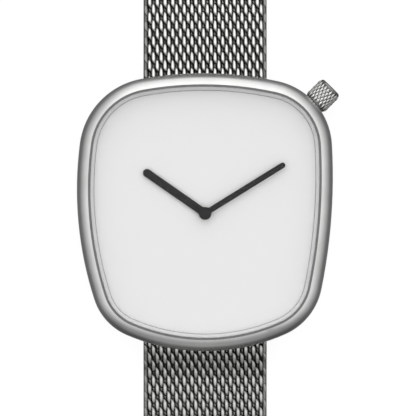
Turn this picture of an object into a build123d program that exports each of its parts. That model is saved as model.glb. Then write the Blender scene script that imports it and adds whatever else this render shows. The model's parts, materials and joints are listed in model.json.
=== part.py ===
from build123d import *
from math import atan2, cos, degrees, pi, radians, sin, sqrt
import os

os.makedirs("parts", exist_ok=True)

# A pillow-shaped wristwatch on a woven wire (Milanese) band, laid open on its back.
# Millimetres. The origin is on the hands' axis, on the outer face of the case back:
# +X points to 3 o'clock, +Y to 12 o'clock and +Z out of the dial.

# Clearances and overrun
snug = 0.02
loose = 0.05
overrun = 1.0

# Case outline from above: four shallow side arcs, each given by its outermost point and radius
top_x = -0.2
top_y = 20.45
top_radius = 51.0
right_x = 18.65
right_y = 5.4
right_radius = 82.0
bottom_x = 0.0
bottom_y = -20.1
bottom_radius = 29.0
left_x = -18.7
left_y = 3.5
left_radius = 52.0

# The arcs that join them, tangent to both neighbours
corner_radius_ne = 10.0
corner_radius_nw = 11.0
corner_radius_sw = 8.5
corner_radius_se = 9.2

# Case wall, measured up from the outer face of the case back
case_back_proud = 0.5
case_top_z = 6.6
case_top_roll = 2.3
case_foot_roll = 2.6
bezel_width = 1.65

# Crystal, its gasket, the dial ring and the dial
gasket_width = 0.3
crystal_seat_z = 5.7
crystal_seat_width = 0.4
crystal_thickness = 1.2
crystal_bevel = 0.3
dial_seat_z = 4.0
dial_thickness = 0.4
dial_ring_top_width = 0.17
dial_ring_foot_width = 0.47
dial_foot_radius = 0.35
dial_foot_length = 0.95

# Movement space and case back
movement_cavity_radius = 13.4
case_back_radius = 14.4
case_back_thickness = 1.0
case_back_gasket_thickness = 0.3
case_back_gasket_width = 0.65
case_back_rim_wall = 0.6
case_back_rim_height = 0.6
case_back_bevel = 0.9
opener_notch_width = 3.0
opener_notch_depth = 0.5

# Crown, on an axis half way between 12 and 3 o'clock
crown_angle = 45.0
crown_axis_z = 2.6
crown_radius = 1.91
crown_seat_depth = 0.28
crown_seat_gap = 0.24
crown_end_wall = 0.7
crown_edge = 0.4
crown_bore_radius = 1.25
crown_pull = 1.0
tube_radius = 0.9
tube_bore_radius = 0.55
tube_end_gap = 0.4
crown_gasket_start = 0.15
crown_gasket_length = 0.6
stem_radius = 0.45
stem_inner_r = 4.6
stem_thread_length = 0.8

# Strap pockets under the case ends, and the spring bars in them
band_width = 18.0
pocket_side_gap = 0.3
pocket_roof_z = 3.55
pocket_depth = 1.5
bar_z = 2.15
bar_upper_y = 17.2
bar_lower_y = -16.7
bar_tube_radius = 0.65
bar_tube_side_gap = 0.4
bar_pin_radius = 0.4
bar_pin_length = 3.4
bar_pin_reach = 0.6
bar_pin_travel = 0.8
bar_hole_extra = 0.3

# Movement: its plate lies along the crown's axis, and its levels are measured like the case's
plate_length = 17.8
plate_width = 15.3
plate_corner = 1.2
plate_z = 2.6
plate_thickness = 0.7
plate_edge = 0.2
holder_lip = 0.4
arbor_radius = 0.2
pivot_radius = 0.1
pivot_length = 0.1
stud_radius = 0.2
peg_side_count = 8
post_radius = 0.55
screw_head_radius = 0.5
screw_head_height = 0.14
screw_shank_radius = 0.25
screw_shank_length = 0.8
stem_slot_width = 1.8
stem_slot_start = 4.3
stem_slot_end = 7.5
stem_block_width = 2.2
stem_block_drop = 0.75
sliding_pinion_radius = 0.7
sliding_pinion_start = 5.2
sliding_pinion_length = 1.2

# Places on the plate, as shares of its half length and half width
bridge_post_shares = [(0.33, 0.34), (-0.67, 0.21)]
board_post_shares = [(0.81, -0.81)]
clamp_post_shares = [(-0.07, -0.86), (-0.92, 0.08)]
dial_foot_shares = [(-0.85, 0.39), (0.82, 0.72)]

# Wheels: teeth, and how far apart the arbors of each pair stand
cannon_teeth = 8
motion_wheel_teeth = 24
motion_pinion_teeth = 8
hour_wheel_teeth = 32
setting_wheel_teeth = 12
center_wheel_teeth = 48
intermediate_pinion_teeth = 6
intermediate_wheel_teeth = 48
rotor_teeth = 6
tooth_height_share = 0.9
tooth_depth_share = 1.15
tooth_root_share = 0.29

motion_distance = 3.12
center_distance = 3.06
rotor_distance = 2.7

# Directions from each arbor to the next, anticlockwise from the crown's axis
motion_wheel_direction = 50.0
setting_wheel_direction = -11.0
intermediate_direction = 120.0
rotor_direction = 150.0

# Levels of the wheels, bridge, board and electric parts
wheel_thickness = 0.18
motion_wheel_z = 3.36
hour_wheel_z = 3.62
center_wheel_z = 2.24
intermediate_wheel_z = 1.88
rotor_pinion_z = 1.84
pinion_height = 0.34
bridge_z = 1.35
bridge_thickness = 0.2
bridge_hub_radius = 1.2
bridge_arm_width = 1.2
bridge_end_radius = 0.75
board_z = 1.5
board_thickness = 0.2
board_length = 9.8
board_depth = 4.1
clamp_z = 1.18
clamp_thickness = 0.14
clamp_width = 1.3
battery_radius = 3.4
battery_height = 1.65
battery_z = 1.34
battery_step = 0.35
quartz_radius = 0.7
quartz_length = 4.8
coil_radius = 0.9
coil_length = 7.8
coil_core_width = 0.9
coil_core_overhang = 1.5
coil_y = 6.2
coil_x = -1.9
stator_thickness = 0.3
stator_lobe_radius = 1.25
stator_arm_width = 0.9
rotor_magnet_radius = 0.55
rotor_air_gap = 0.2

# Hands
cannon_tube_radius = 0.45
hour_tube_radius = 0.72
dial_hole_radius = 0.95
hour_hand_z = 4.75
hour_hand_thickness = 0.2
hour_hand_length = 10.9
hour_hand_width = 1.18
hour_hand_angle = 304.85
minute_hand_z = 5.2
minute_hand_thickness = 0.15
minute_hand_length = 13.7
minute_hand_width = 0.83
minute_hand_angle = 58.2
minute_hub_height = 0.3
minute_hub_bore_depth = 0.15
hand_hub_radius = 0.92

# Band: woven wire strip in jointed lengths, each a whole number of rows of the weave.
# Its gaps are drawn as a plain grid of openings, one for every few rows and turns of the wire.
row_pitch = 1.18
upper_row_counts = [12, 12, 12, 12, 12]
lower_row_counts = [4, 12, 12, 12, 12, 12]
tail_row_count = 28
band_half_thickness = 0.66
band_opening_width = 1.2
band_opening_length = 1.2
band_opening_column_count = 6
rows_per_opening_count = 3
band_lie_z = 1.3
joint_gap = 0.02
joint_flank = 0.35
end_tube_radius = 1.25
end_tube_bore = 0.7
neck_length = 2.6
neck_half_thickness = 0.5
catch_bar_half_height = 1.3
catch_bar_length = 2.6
catch_bar_corner = 0.8
strip_seat_depth = 1.0
tail_tip_half_height = 0.95
tail_tip_length = 2.0
tail_tip_corner = 0.5

# Clasp that slides along the tail, with its places measured from the tail's first row
clasp_start = 6.0
clasp_length = 20.5
clasp_floor = 0.45
clasp_side_gap = 0.15
clasp_wall = 0.6
clasp_wall_top_z = 2.35
clasp_hinge_z = 2.75
clasp_ear_radius = 0.75
clasp_knuckle_radius = 0.6
clasp_pin_radius = 0.35
clasp_lid_thickness = 0.5
clasp_lock_hinge = 6.9
clasp_lock_length = 8.3
clasp_cover_hinge = 16.7
clasp_cover_length = 9.4
clasp_lip_drop = 0.35
clasp_lip_length = 0.5

# Derived places
bezel_inset = bezel_width
bezel_drop = case_top_roll - sqrt(case_top_roll**2 - (case_top_roll - bezel_width) ** 2)
crystal_inset = bezel_inset + gasket_width
dial_space_inset = bezel_inset + crystal_seat_width
dial_inset = dial_space_inset + snug
dial_top_z = dial_seat_z + dial_thickness
case_back_seat_z = case_back_thickness + case_back_gasket_thickness
pocket_half_width = band_width / 2 + pocket_side_gap
tube_reach = crown_gasket_start + crown_gasket_length + crown_pull
crown_bore_depth = tube_reach + tube_end_gap
crown_length = crown_bore_depth + stem_thread_length + crown_end_wall
crown_plane = Plane(
    origin=(0, 0, crown_axis_z),
    x_dir=(0, 0, 1),
    z_dir=(cos(radians(crown_angle)), sin(radians(crown_angle)), 0),
)

side_circles = [
    (Vector(right_x - right_radius, right_y), right_radius),
    (Vector(top_x, top_y - top_radius), top_radius),
    (Vector(left_x + left_radius, left_y), left_radius),
    (Vector(bottom_x, bottom_y + bottom_radius), bottom_radius),
]
corner_radii = [corner_radius_ne, corner_radius_nw, corner_radius_sw, corner_radius_se]


def corner_centre(first, second, radius):
    # The centre of the arc of this radius that is tangent inside both side circles.
    first_reach = first[1] - radius
    second_reach = second[1] - radius
    base = second[0] - first[0]
    along = (first_reach**2 - second_reach**2 + base.length**2) / (2 * base.length)
    across = sqrt(first_reach**2 - along**2)
    side = Vector(-base.Y, base.X)
    return first[0] + base.normalized() * along + side.normalized() * across


def reach_along(angle):
    # How far the outline's first corner arc lies from the hands' axis in this direction.
    centre = corner_centre(side_circles[0], side_circles[1], corner_radii[0])
    along = centre.X * cos(radians(angle)) + centre.Y * sin(radians(angle))
    return along + sqrt(corner_radii[0] ** 2 - centre.length**2 + along**2)


def outline_arcs(inset=0.0):
    # The eight arcs of the outline drawn inward by the inset, each (centre, radius, start, end).
    corners = [
        corner_centre(side_circles[i], side_circles[(i + 1) % 4], corner_radii[i])
        for i in range(4)
    ]
    starts = []
    ends = []
    for i, corner in enumerate(corners):
        for circle, points in ((side_circles[i], starts), (side_circles[(i + 1) % 4], ends)):
            outward = (corner - circle[0]).normalized()
            points.append(circle[0] + outward * (circle[1] - inset))
    arcs = []
    for i, corner in enumerate(corners):
        side, side_radius = side_circles[(i + 1) % 4]
        arcs.append((corner, corner_radii[i] - inset, starts[i], ends[i]))
        arcs.append((side, side_radius - inset, ends[i], starts[(i + 1) % 4]))
    return arcs


def outline_face(z, inset=0.0):
    with BuildSketch(Plane.XY.offset(z)) as sketch:
        with BuildLine():
            for centre, radius, start, end in outline_arcs(inset):
                middle = centre + ((start - centre) + (end - centre)).normalized() * radius
                ThreePointArc(start, middle, end)
        make_face()
    return sketch.sketch


def write(part, name):
    part.label = name
    export_step(part, f"parts/{name}.step")


crown_inner_r = reach_along(crown_angle) - crown_seat_depth
crown_outer_r = crown_inner_r + crown_length
tube_outer_r = crown_inner_r + tube_reach

# Case: the outline raised and rounded over above and below, then opened up
with BuildPart() as case:
    extrude(outline_face(case_back_proud), amount=case_top_z - case_back_proud)
    fillet(case.faces().sort_by(Axis.Z)[-1].edges(), case_top_roll)
    fillet(case.faces().sort_by(Axis.Z)[0].edges(), case_foot_roll)
    # Opening for the gasket and crystal, then the narrower space for the dial and its ring
    extrude(
        outline_face(crystal_seat_z, bezel_inset),
        amount=case_top_z - crystal_seat_z + overrun,
        mode=Mode.SUBTRACT,
    )
    extrude(
        outline_face(dial_seat_z, dial_space_inset),
        amount=crystal_seat_z - dial_seat_z,
        mode=Mode.SUBTRACT,
    )
    # Round movement space, and the step for the case back
    with BuildSketch(Plane.XY):
        Circle(movement_cavity_radius)
    extrude(amount=dial_seat_z + overrun, mode=Mode.SUBTRACT)
    with BuildSketch(Plane.XY):
        Circle(case_back_radius)
    extrude(amount=case_back_seat_z, mode=Mode.SUBTRACT)
    # Strap pockets, open below and outward
    for bar_y, end_y, side in ((bar_upper_y, top_y, 1), (bar_lower_y, bottom_y, -1)):
        pocket_wall_y = bar_y - side * pocket_depth
        with BuildSketch(Plane.XY):
            with Locations((0, pocket_wall_y)):
                Rectangle(
                    2 * pocket_half_width,
                    abs(end_y - pocket_wall_y) + overrun,
                    align=(Align.CENTER, Align.MIN if side > 0 else Align.MAX),
                )
        extrude(amount=pocket_roof_z, mode=Mode.SUBTRACT)
        with BuildSketch(Plane.YZ):
            with Locations((bar_y, bar_z)):
                Circle(bar_pin_radius + loose)
        extrude(
            amount=pocket_half_width + bar_pin_reach + bar_hole_extra,
            both=True,
            mode=Mode.SUBTRACT,
        )
    # Flat recess that the crown seats against, and the bore for its tube
    with BuildSketch(crown_plane.offset(crown_inner_r)):
        Circle(crown_radius + crown_seat_gap)
    extrude(amount=crown_outer_r - crown_inner_r, mode=Mode.SUBTRACT)
    with BuildSketch(crown_plane):
        Circle(tube_radius)
    extrude(amount=crown_outer_r, mode=Mode.SUBTRACT)
write(case.part, "case")


# Gasket pressed between the case and the crystal
with BuildPart() as crystal_gasket:
    gasket_height = case_top_z - bezel_drop - crystal_seat_z - loose
    extrude(outline_face(crystal_seat_z, bezel_inset), amount=gasket_height)
    extrude(
        outline_face(crystal_seat_z, crystal_inset), amount=gasket_height, mode=Mode.SUBTRACT
    )
write(crystal_gasket.part, "crystal_gasket")

with BuildPart() as crystal:
    extrude(outline_face(crystal_seat_z, crystal_inset), amount=crystal_thickness)
    chamfer(crystal.faces().sort_by(Axis.Z)[-1].edges(), crystal_bevel)
write(crystal.part, "crystal")

# Sloped ring between the dial and the crystal
with BuildPart() as dial_ring:
    ring_height = crystal_seat_z - dial_top_z
    extrude(outline_face(dial_top_z, dial_inset), amount=ring_height)
    loft(
        [
            outline_face(dial_top_z, dial_inset + dial_ring_foot_width),
            outline_face(crystal_seat_z, dial_inset + dial_ring_top_width),
        ],
        ruled=True,
        mode=Mode.SUBTRACT,
    )
write(dial_ring.part, "dial_ring")

# Case back: a snapped-in disc with a bevelled edge, an inner rim and a notch for the opener
with BuildPart() as case_back:
    flange_radius = case_back_radius - snug
    rim_radius = movement_cavity_radius - snug
    rim_top_z = case_back_seat_z + case_back_rim_height
    with BuildSketch(Plane.XZ):
        with BuildLine():
            Polyline(
                (0, 0),
                (flange_radius - case_back_bevel, 0),
                (flange_radius, case_back_proud),
                (flange_radius, case_back_thickness),
                (rim_radius, case_back_thickness),
                (rim_radius, rim_top_z),
                (rim_radius - case_back_rim_wall, rim_top_z),
                (rim_radius - case_back_rim_wall, case_back_thickness),
                (0, case_back_thickness),
                close=True,
            )
        make_face()
    revolve(axis=Axis.Z)
    with BuildSketch(Plane.XY.rotated((0, 0, -crown_angle))):
        with Locations((flange_radius, 0)):
            Rectangle(2 * opener_notch_depth, opener_notch_width)
    extrude(amount=case_back_proud, mode=Mode.SUBTRACT)
write(case_back.part, "case_back")

with BuildPart() as case_back_gasket:
    with BuildSketch(Plane.XY.offset(case_back_thickness)):
        Circle(case_back_radius - snug)
        Circle(case_back_radius - snug - case_back_gasket_width, mode=Mode.SUBTRACT)
    extrude(amount=case_back_gasket_thickness)
write(case_back_gasket.part, "case_back_gasket")

# Crown tube, pressed into the case and standing out into the crown
with BuildPart() as crown_tube:
    with BuildSketch(crown_plane.offset(movement_cavity_radius + snug)):
        Circle(tube_radius)
        Circle(tube_bore_radius, mode=Mode.SUBTRACT)
    extrude(amount=tube_outer_r - movement_cavity_radius - snug)
write(crown_tube.part, "crown_tube")

with BuildPart() as crown:
    with BuildSketch(crown_plane.offset(crown_inner_r + loose)):
        Circle(crown_radius)
    extrude(amount=crown_outer_r - crown_inner_r - loose)
    chamfer(crown.edges().filter_by(GeomType.CIRCLE), crown_edge)
    with BuildSketch(crown_plane.offset(crown_inner_r)):
        Circle(crown_bore_radius)
    extrude(amount=crown_bore_depth, mode=Mode.SUBTRACT)
    with BuildSketch(crown_plane.offset(crown_inner_r + crown_bore_depth)):
        Circle(stem_radius)
    extrude(amount=stem_thread_length, mode=Mode.SUBTRACT)
write(crown.part, "crown")

with BuildPart() as crown_gasket:
    with BuildSketch(crown_plane.offset(crown_inner_r + crown_gasket_start)):
        Circle(crown_bore_radius - snug)
        Circle(tube_radius + snug, mode=Mode.SUBTRACT)
    extrude(amount=crown_gasket_length)
write(crown_gasket.part, "crown_gasket")

with BuildPart() as stem:
    with BuildSketch(crown_plane.offset(stem_inner_r)):
        Circle(stem_radius)
    extrude(amount=crown_inner_r + crown_bore_depth + stem_thread_length - stem_inner_r)
    inner_edge = stem.edges().filter_by(GeomType.CIRCLE).sort_by(Axis.X)[0]
    chamfer(inner_edge, stem_radius / 4)
write(stem.part, "stem")

# Spring bars: a hollow tube with a sprung pin in each end
for end_name, bar_y in (("upper", bar_upper_y), ("lower", bar_lower_y)):
    tube_half = band_width / 2 - bar_tube_side_gap
    pin_tip = pocket_half_width + bar_pin_reach
    pin_root = pin_tip - bar_pin_length
    with BuildPart() as spring_bar:
        with BuildSketch(Plane.YZ):
            with Locations((bar_y, bar_z)):
                Circle(bar_tube_radius)
        extrude(amount=tube_half, both=True)
        for side in (-1, 1):
            bore_start = side * (pin_root - bar_pin_travel - loose)
            with BuildSketch(Plane.YZ.offset(bore_start)):
                with Locations((bar_y, bar_z)):
                    Circle(bar_pin_radius + snug)
            extrude(amount=side * band_width / 2, mode=Mode.SUBTRACT)
    write(spring_bar.part, f"spring_bar_{end_name}")
    for side_name, side in (("left", -1), ("right", 1)):
        with BuildPart() as pin:
            with BuildSketch(Plane.YZ.offset(side * pin_root)):
                with Locations((bar_y, bar_z)):
                    Circle(bar_pin_radius)
            extrude(amount=side * bar_pin_length)
            tip_edge = pin.edges().filter_by(GeomType.CIRCLE).sort_by(Axis.X)[-1 if side > 0 else 0]
            chamfer(tip_edge, bar_pin_radius / 2)
        write(pin.part, f"spring_pin_{end_name}_{side_name}")


def movement_level(z):
    # A plane across the movement at height z, with its X along the crown's axis.
    across = radians(crown_angle)
    return Plane(origin=(0, 0, z), x_dir=(cos(across), sin(across), 0), z_dir=(0, 0, 1))


def step_from(place, distance, direction):
    turn = radians(direction)
    return (place[0] + distance * cos(turn), place[1] + distance * sin(turn))


def on_plate(shares):
    return [(x * plate_length / 2, y * plate_width / 2) for x, y in shares]


def gear_face(z, place, teeth, module, turn):
    # A toothed wheel as one face, with the tip of a tooth pointing along turn.
    tip_radius = module * (teeth / 2 + tooth_height_share)
    root_radius = module * (teeth / 2 - tooth_depth_share)
    corners = [(-tooth_root_share, root_radius), (0, tip_radius), (tooth_root_share, root_radius)]
    points = []
    for tooth in range(teeth):
        for share, radius in corners:
            points.append(step_from(place, radius, turn + (tooth + share) * 360 / teeth))
    with BuildSketch(movement_level(z)) as sketch:
        with BuildLine():
            Polyline(*points, close=True)
        make_face()
    return sketch.sketch


def meshing_turn(turn, teeth, direction, next_teeth):
    # The turn of the next wheel whose gap meets this wheel's tooth on the line between them.
    share = (direction - turn) * teeth / 360 % 1
    return direction + degrees(pi) + (share - 0.5) * 360 / next_teeth


def disc(plane, place, radius, height, mode=Mode.ADD):
    with BuildSketch(plane) as sketch:
        with Locations(place):
            Circle(radius)
    return extrude(sketch.sketch, amount=height, mode=mode)


def flat_sided(radius, mode=Mode.ADD):
    # A small round drawn with flat sides, which keeps many small pieces light. A hole clears
    # its radius all round.
    return RegularPolygon(
        radius, peg_side_count, major_radius=mode == Mode.ADD, mode=mode
    )


def peg(plane, place, radius, height, mode=Mode.ADD):
    with BuildSketch(plane) as sketch:
        with Locations(place):
            RegularPolygon(radius, peg_side_count, major_radius=mode == Mode.ADD)
    return extrude(sketch.sketch, amount=height, mode=mode)


# Where the arbors stand, and how the wheels are turned so that their teeth interlock
center_place = (0, 0)
motion_module = 2 * motion_distance / (cannon_teeth + motion_wheel_teeth)
hour_module = 2 * motion_distance / (motion_pinion_teeth + hour_wheel_teeth)
center_module = 2 * center_distance / (center_wheel_teeth + intermediate_pinion_teeth)
rotor_module = 2 * rotor_distance / (intermediate_wheel_teeth + rotor_teeth)
motion_place = step_from(center_place, motion_distance, motion_wheel_direction)
setting_distance = motion_module * (motion_wheel_teeth + setting_wheel_teeth) / 2
setting_place = step_from(motion_place, setting_distance, setting_wheel_direction)
intermediate_place = step_from(center_place, center_distance, intermediate_direction)
rotor_place = step_from(intermediate_place, rotor_distance, rotor_direction)

motion_turn = meshing_turn(0, cannon_teeth, motion_wheel_direction, motion_wheel_teeth)
setting_turn = meshing_turn(
    motion_turn, motion_wheel_teeth, setting_wheel_direction, setting_wheel_teeth
)
hour_turn = meshing_turn(
    0, motion_pinion_teeth, motion_wheel_direction + degrees(pi), hour_wheel_teeth
)
intermediate_turn = meshing_turn(
    0, center_wheel_teeth, intermediate_direction, intermediate_pinion_teeth
)
rotor_turn = meshing_turn(0, intermediate_wheel_teeth, rotor_direction, rotor_teeth)

plate_top_z = plate_z + plate_thickness
battery_place = (
    battery_radius + plate_edge - plate_length / 2,
    battery_radius + plate_edge - plate_width / 2,
)
quartz_place = (
    plate_length / 2 - board_length / 2,
    board_depth / 2 - plate_width / 2 + plate_edge,
)
coil_axis_z = center_wheel_z - plate_edge
bridge_places = on_plate(bridge_post_shares)
board_places = on_plate(board_post_shares)
clamp_places = on_plate(clamp_post_shares)
bridge_top_z = bridge_z + bridge_thickness
board_top_z = board_z + board_thickness
clamp_top_z = clamp_z + clamp_thickness

# Main plate, with windows for the battery, coil and quartz can, and a slot for the stem
with BuildPart() as main_plate:
    with BuildSketch(movement_level(plate_z)):
        RectangleRounded(plate_length, plate_width, plate_corner)
        with Locations(battery_place):
            Circle(battery_radius + loose, mode=Mode.SUBTRACT)
        with Locations((coil_x, coil_y)):
            Rectangle(
                coil_length + 2 * loose,
                2 * (coil_radius + loose),
                mode=Mode.SUBTRACT,
            )
        with Locations(quartz_place):
            Rectangle(
                quartz_length + 2 * loose,
                2 * (quartz_radius + loose),
                mode=Mode.SUBTRACT,
            )
        with Locations((stem_slot_start, 0)):
            Rectangle(
                stem_slot_end - stem_slot_start,
                stem_slot_width,
                align=(Align.MIN, Align.CENTER),
                mode=Mode.SUBTRACT,
            )
        with Locations(center_place, intermediate_place, rotor_place):
            flat_sided(arbor_radius + snug, mode=Mode.SUBTRACT)
    extrude(amount=plate_thickness)
    with BuildSketch(movement_level(plate_z - stem_block_drop)):
        with Locations((stem_slot_end, 0)):
            Rectangle(
                plate_length / 2 - stem_slot_end,
                stem_block_width,
                align=(Align.MIN, Align.CENTER),
            )
    extrude(amount=stem_block_drop)
    for places, low_z in (
        (bridge_places, bridge_top_z),
        (board_places, board_top_z),
        (clamp_places[:1], board_top_z),
        (clamp_places[1:], clamp_top_z),
    ):
        for place in places:
            peg(movement_level(low_z), place, post_radius, plate_z - low_z)
            peg(
                movement_level(low_z),
                place,
                screw_shank_radius,
                screw_shank_length + loose,
                mode=Mode.SUBTRACT,
            )
    for place in (motion_place, setting_place):
        peg(
            movement_level(plate_top_z),
            place,
            stud_radius,
            motion_wheel_z + pinion_height - plate_top_z,
        )
    for place in on_plate(dial_foot_shares):
        peg(
            movement_level(dial_seat_z - dial_foot_length - loose),
            place,
            dial_foot_radius + snug,
            dial_foot_length,
            mode=Mode.SUBTRACT,
        )
    with BuildSketch(crown_plane):
        Circle(stem_radius + snug)
    extrude(amount=plate_length, mode=Mode.SUBTRACT)
write(main_plate.part, "main_plate")

with BuildPart() as movement_holder:
    with BuildSketch(Plane.XY.offset(case_back_seat_z + case_back_rim_height)):
        Circle(movement_cavity_radius - snug)
    extrude(amount=dial_seat_z - case_back_seat_z - case_back_rim_height)
    with BuildSketch(movement_level(0)):
        RectangleRounded(plate_length + 2 * loose, plate_width + 2 * loose, plate_corner)
    extrude(amount=plate_top_z + snug, mode=Mode.SUBTRACT)
    with BuildSketch(movement_level(0)):
        RectangleRounded(
            plate_length - 2 * holder_lip, plate_width - 2 * holder_lip, plate_corner
        )
    extrude(amount=dial_seat_z + overrun, mode=Mode.SUBTRACT)
    with BuildSketch(crown_plane):
        Circle(tube_radius)
    extrude(amount=case_back_radius, mode=Mode.SUBTRACT)
write(movement_holder.part, "movement_holder")

with BuildPart() as dial:
    extrude(outline_face(dial_seat_z, dial_inset), amount=dial_thickness)
    for place in on_plate(dial_foot_shares):
        peg(movement_level(dial_seat_z), place, dial_foot_radius, -dial_foot_length)
    disc(Plane.XY, center_place, dial_hole_radius, dial_top_z + overrun, mode=Mode.SUBTRACT)
write(dial.part, "dial")

with BuildPart() as battery:
    disc(movement_level(battery_z), battery_place, battery_radius - battery_step, battery_step)
    disc(
        movement_level(battery_z + battery_step),
        battery_place,
        battery_radius,
        battery_height - battery_step,
    )
    chamfer(battery.edges().filter_by(GeomType.CIRCLE).sort_by(Axis.Z)[-1], battery_step / 3)
write(battery.part, "battery")

# Sprung strip that holds the battery in, screwed down at both ends
with BuildPart() as battery_clamp:
    first, second = clamp_places
    run_angle = degrees(atan2(second[1] - first[1], second[0] - first[0]))
    run_length = sqrt((second[0] - first[0]) ** 2 + (second[1] - first[1]) ** 2)
    middle = ((first[0] + second[0]) / 2, (first[1] + second[1]) / 2)
    with BuildSketch(movement_level(clamp_z)):
        with Locations(Location(middle, run_angle)):
            SlotCenterToCenter(run_length, clamp_width)
        with Locations(first, second):
            flat_sided(screw_shank_radius + snug, mode=Mode.SUBTRACT)
    extrude(amount=clamp_thickness)
    with BuildSketch(movement_level(clamp_top_z)):
        with Locations(first):
            flat_sided(post_radius)
            flat_sided(screw_shank_radius + snug, mode=Mode.SUBTRACT)
    extrude(amount=board_z - clamp_top_z)
write(battery_clamp.part, "battery_clamp")

with BuildPart() as circuit_board:
    with BuildSketch(movement_level(board_z)):
        with Locations(quartz_place):
            RectangleRounded(board_length - 2 * plate_edge, board_depth, plate_corner / 2)
        with Locations(battery_place):
            Circle(battery_radius + 2 * plate_edge, mode=Mode.SUBTRACT)
        with Locations(*board_places, clamp_places[0]):
            flat_sided(post_radius)
            flat_sided(screw_shank_radius + snug, mode=Mode.SUBTRACT)
    extrude(amount=board_thickness)
write(circuit_board.part, "circuit_board")

with BuildPart() as quartz_can:
    can_plane = Plane(
        origin=movement_level(board_top_z + quartz_radius).from_local_coords(
            (quartz_place[0] - quartz_length / 2, quartz_place[1], 0)
        ),
        x_dir=(0, 0, 1),
        z_dir=crown_plane.z_dir,
    )
    with BuildSketch(can_plane):
        Circle(quartz_radius)
    extrude(amount=quartz_length)
    chamfer(quartz_can.edges().filter_by(GeomType.CIRCLE), quartz_radius / 4)
write(quartz_can.part, "quartz_can")

# Stepping motor: winding on its core, the stator round the rotor, and the rotor
with BuildPart() as coil:
    coil_plane = Plane(
        origin=movement_level(coil_axis_z).from_local_coords(
            (coil_x - coil_length / 2, coil_y, 0)
        ),
        x_dir=(0, 0, 1),
        z_dir=crown_plane.z_dir,
    )
    with BuildSketch(coil_plane):
        Circle(coil_radius)
    extrude(amount=coil_length)
    with BuildSketch(movement_level(coil_axis_z - stator_thickness / 2)):
        with Locations((coil_x, coil_y)):
            Rectangle(coil_length + 2 * coil_core_overhang, coil_core_width)
    extrude(amount=stator_thickness)
write(coil.part, "coil")

stator_z = coil_axis_z + stator_thickness / 2
with BuildPart() as stator:
    arm_reach = coil_length / 2 + coil_core_overhang - stator_arm_width / 2
    with BuildSketch(movement_level(stator_z)):
        for side in (-1, 1):
            arm_x = coil_x + side * arm_reach
            with Locations(((arm_x + rotor_place[0]) / 2, rotor_place[1])):
                Rectangle(abs(arm_x - rotor_place[0]) + stator_arm_width, stator_arm_width)
            with Locations((arm_x, (coil_y + rotor_place[1]) / 2)):
                Rectangle(stator_arm_width, coil_y - rotor_place[1] + stator_arm_width)
        with Locations(rotor_place):
            Circle(stator_lobe_radius)
            Circle(rotor_magnet_radius + rotor_air_gap, mode=Mode.SUBTRACT)
    extrude(amount=stator_thickness)
write(stator.part, "stator")

with BuildPart() as rotor:
    extrude(
        gear_face(rotor_pinion_z, rotor_place, rotor_teeth, rotor_module, rotor_turn),
        amount=stator_z - rotor_pinion_z,
    )
    disc(movement_level(stator_z), rotor_place, rotor_magnet_radius, stator_thickness)
    peg(
        movement_level(bridge_top_z - pivot_length),
        rotor_place,
        pivot_radius,
        rotor_pinion_z - bridge_top_z + pivot_length,
    )
    peg(
        movement_level(stator_z + stator_thickness),
        rotor_place,
        arbor_radius,
        plate_z + plate_thickness / 2 - stator_z - stator_thickness,
    )
write(rotor.part, "rotor")

with BuildPart() as intermediate_wheel:
    extrude(
        gear_face(
            intermediate_wheel_z,
            intermediate_place,
            intermediate_wheel_teeth,
            rotor_module,
            0,
        ),
        amount=wheel_thickness,
    )
    extrude(
        gear_face(
            intermediate_wheel_z + wheel_thickness,
            intermediate_place,
            intermediate_pinion_teeth,
            center_module,
            intermediate_turn,
        ),
        amount=plate_z - snug - intermediate_wheel_z - wheel_thickness,
    )
    peg(
        movement_level(bridge_top_z - pivot_length),
        intermediate_place,
        pivot_radius,
        intermediate_wheel_z - bridge_top_z + pivot_length,
    )
    peg(
        movement_level(plate_z - snug), intermediate_place, arbor_radius, plate_thickness / 2
    )
write(intermediate_wheel.part, "intermediate_wheel")

with BuildPart() as center_wheel:
    extrude(
        gear_face(center_wheel_z, center_place, center_wheel_teeth, center_module, 0),
        amount=wheel_thickness,
    )
    peg(
        movement_level(bridge_top_z - pivot_length),
        center_place,
        pivot_radius,
        center_wheel_z - bridge_top_z + pivot_length,
    )
    peg(
        movement_level(center_wheel_z), center_place, arbor_radius, dial_seat_z - center_wheel_z
    )
write(center_wheel.part, "center_wheel")

with BuildPart() as train_bridge:
    with BuildSketch(movement_level(bridge_z)):
        stops = [bridge_places[0], center_place, intermediate_place, rotor_place, bridge_places[1]]
        for start, end in zip(stops, stops[1:]):
            turn = degrees(atan2(end[1] - start[1], end[0] - start[0]))
            span = sqrt((end[0] - start[0]) ** 2 + (end[1] - start[1]) ** 2)
            with Locations(Location(((start[0] + end[0]) / 2, (start[1] + end[1]) / 2), turn)):
                Rectangle(span, bridge_arm_width)
        with Locations(*stops):
            flat_sided(bridge_end_radius)
        with Locations(center_place):
            Circle(bridge_hub_radius)
        with Locations(*stops[1:4]):
            flat_sided(pivot_radius + snug, mode=Mode.SUBTRACT)
        with Locations(*bridge_places):
            flat_sided(screw_shank_radius + snug, mode=Mode.SUBTRACT)
    extrude(amount=bridge_thickness)
write(train_bridge.part, "train_bridge")

with BuildPart() as movement_screws:
    for places, seat_z in (
        (bridge_places, bridge_z),
        (board_places, board_z),
        (clamp_places, clamp_z),
    ):
        for place in places:
            peg(movement_level(seat_z), place, screw_head_radius, -screw_head_height)
            peg(movement_level(seat_z), place, screw_shank_radius - snug, screw_shank_length)
write(movement_screws.part, "movement_screws")

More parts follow.
